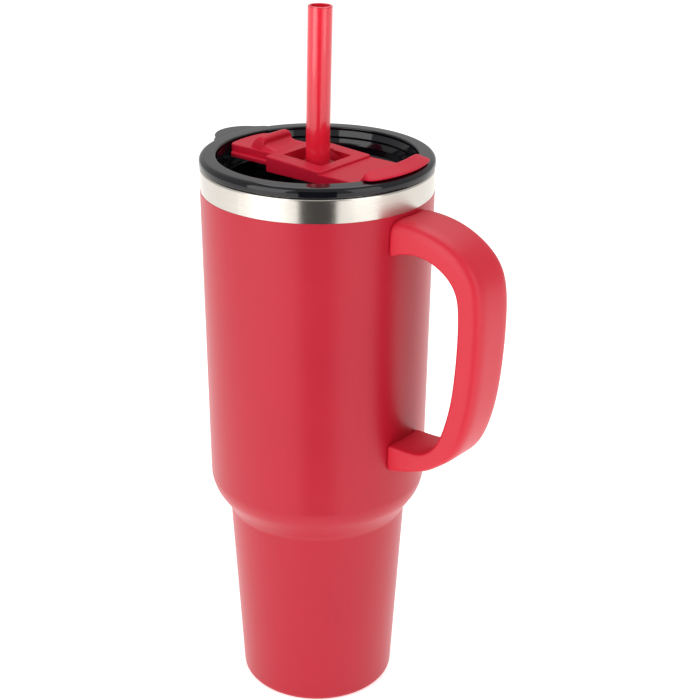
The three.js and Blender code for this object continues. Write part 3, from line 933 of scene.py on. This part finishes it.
def pad_bosses():
    """The two posts under the arms that press the pads onto their holes."""
    top = ARM_BOTTOM + 0.5
    return [
        prism("drink_boss", oblong(DRINK_PLACE, 5.5, 7.0, 3.0), BOSS_BOTTOM, top),
        prism("vent_boss", circle(4.0, 32, VENT_PLACE), BOSS_BOTTOM, top),
    ]


def hub_sleeve():
    """The tube under the cover that turns in the lid, with a groove that holds the clip."""
    groove = 7.9
    corners = [
        (HUB_RADIUS, SLEEVE_TOP),
        (HUB_RADIUS, 246.2, 0.2),
        (groove, 246.2),
        (groove, 243.5),
        (HUB_RADIUS, 243.3),
        (HUB_RADIUS - 0.5, SLEEVE_BOTTOM, 0.3),
        (HUB_BORE, SLEEVE_BOTTOM, 0.3),
        (HUB_BORE, SLEEVE_TOP),
    ]
    return turned("sleeve", corners, steps=SMALL_STEPS)


def drink_cover():
    block = cover_block()
    joined = [*cover_arms(), rim_guard(), thumb_lip(), *pad_bosses(), hub_sleeve()]
    well_outline = oblong(0.0, COVER_WELL_HALF, COVER_WELL_HALF, 1.0)
    well = prism("cover_well", well_outline, COVER_WELL_FLOOR, 262.0)
    bore = prism("bore", circle(HUB_BORE, SMALL_STEPS), 240.0, 256.0)
    return even_shading(cut_and_join(block, joined=joined, cut=[well, bore]))


def drink_pad():
    outline = oblong(DRINK_PLACE, 6.8, 8.4, 4.0)
    return even_shading(prism("drink_pad", outline, PAD_BOTTOM, PAD_TOP, edge=0.5))


def vent_pad():
    outline = circle(4.5, SMALL_STEPS, VENT_PLACE)
    return even_shading(prism("vent_pad", outline, PAD_BOTTOM, PAD_TOP, edge=0.4))


def hub_ring():
    radii = (11.3, HUB_RADIUS + FIT_GAP)
    corners = tube_section(*radii, COVER_BOTTOM - FIT_GAP, PAD_BOTTOM, 0.5, 0.3)
    return turned("hub_ring", corners, steps=SMALL_STEPS)


def cover_clip():
    """A flat ring, slit at the back so that it springs over the sleeve."""
    corners = tube_section(12.5, 8.2, CLIP_TOP, CLIP_BOTTOM, 0.4, 0.3)
    ring = apply_stack(turned("cover_clip", corners, steps=SMALL_STEPS))
    slit = prism("slit", rectangle(-14.0, 0.0, -2.5, 2.5, 0.0), 242.0, 248.0)
    return even_shading(cut_and_join(ring, cut=[slit]))


def straw_collar():
    bore = STRAW_RADIUS + 0.4
    sleeve = HUB_BORE - FIT_GAP
    flange_radius = 8.2
    flange_bottom = COVER_WELL_FLOOR + FIT_GAP
    flange_top = flange_bottom + 1.2
    foot = 242.4
    corners = [
        (flange_radius, flange_top, 0.5),
        (flange_radius, flange_bottom, 0.3),
        (sleeve, flange_bottom),
        (sleeve, foot, 0.3),
        (bore, foot, 0.2),
        (bore, flange_top, 0.5),
    ]
    return turned("straw_collar", corners, steps=SMALL_STEPS)


# ---------- the straw ----------
def drinking_straw():
    """The straw is turned upright about its pivot, then leant over and lifted into place."""
    top = STRAW_TOP - STRAW_PIVOT
    radii = (STRAW_RADIUS, STRAW_RADIUS - STRAW_WALL)
    corners = tube_section(*radii, top, top - STRAW_LENGTH, 0.45, 0.3)
    straw = apply_stack(turned("drinking_straw", corners, steps=SMALL_STEPS))
    axis = Vector((-math.sin(STRAW_LEAN_TOWARDS), math.cos(STRAW_LEAN_TOWARDS), 0))
    lean = Matrix.Rotation(STRAW_LEAN, 4, axis)
    straw.data.transform(Matrix.Translation((0, 0, STRAW_PIVOT * MM)) @ lean)
    return straw


# ---------- putting it together ----------
place_camera()
light_studio()
lay_floor()

coat_red = powder_coat_finish()
band_steel = brushed_steel_finish(
    "brushed_steel", "dedad3", "b4afa7", roughness=0.15, line_size=0.16
)
drawn_steel = brushed_steel_finish(
    "drawn_steel", "cfccc6", "a9a5a0", roughness=0.3, line_size=0.3
)
handle_red = moulded_finish(
    "handle_red", "be1229", "c81931", roughness=0.33, grain_size=0.32, relief=0.02, specular=0.42
)
cover_red = moulded_finish(
    "cover_red", "bb132d", "c41a34", roughness=0.34, grain_size=0.28, relief=0.015, specular=0.15
)
gloss_black = gloss_finish()
straw_red = straw_finish()
soft_silicone = silicone_finish("soft_silicone", "1b1c1f", "33353a")
red_silicone = silicone_finish("red_silicone", "8e1022", "a0203a")
sintered_alloy = sintered_finish()

finished(steel_wall(), "mug", band_steel, "bare_steel", "outer_wall")
finished(powder_coat(), "mug", coat_red, "powder_coat")
finished(steel_liner(), "mug", drawn_steel, "bare_steel", "inner_liner")
finished(foot_cap(), "mug", drawn_steel, "base_steel", "base_plate")
finished(grip_handle(), "mug", handle_red, "handle_plastic", "handle")
finished(screw_plug(), "mug", handle_red, "handle_plastic", "screw_cover")

finished(lid_bowl(), "lid", gloss_black, "lid_plastic", "lid_body")
finished(lift_tab(), "lid", gloss_black, "lid_plastic")
finished(lid_seal_ring(), "lid", soft_silicone, "silicone", "lid_gasket")

finished(drink_cover(), "cover", cover_red, "rotor_plastic", "lid_rotor")
finished(drink_pad(), "cover", soft_silicone, "silicone", "drink_seal")
finished(vent_pad(), "cover", soft_silicone, "silicone", "vent_seal")
finished(hub_ring(), "cover", soft_silicone, "silicone", "hub_seal")
finished(cover_clip(), "cover", cover_red, "rotor_plastic", "rotor_retainer")
finished(straw_collar(), "cover", red_silicone, "silicone", "straw_grommet")

finished(drinking_straw(), "straw", straw_red, "straw_plastic", "straw")

for node, material in (
    ("vacuum_getter", sintered_alloy),
    ("handle_upper_bracket", drawn_steel),
    ("handle_lower_bracket", drawn_steel),
    ("handle_screw_left", drawn_steel),
    ("handle_screw_right", drawn_steel),
):
    for material_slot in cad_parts[node].material_slots:
        material_slot.material = material
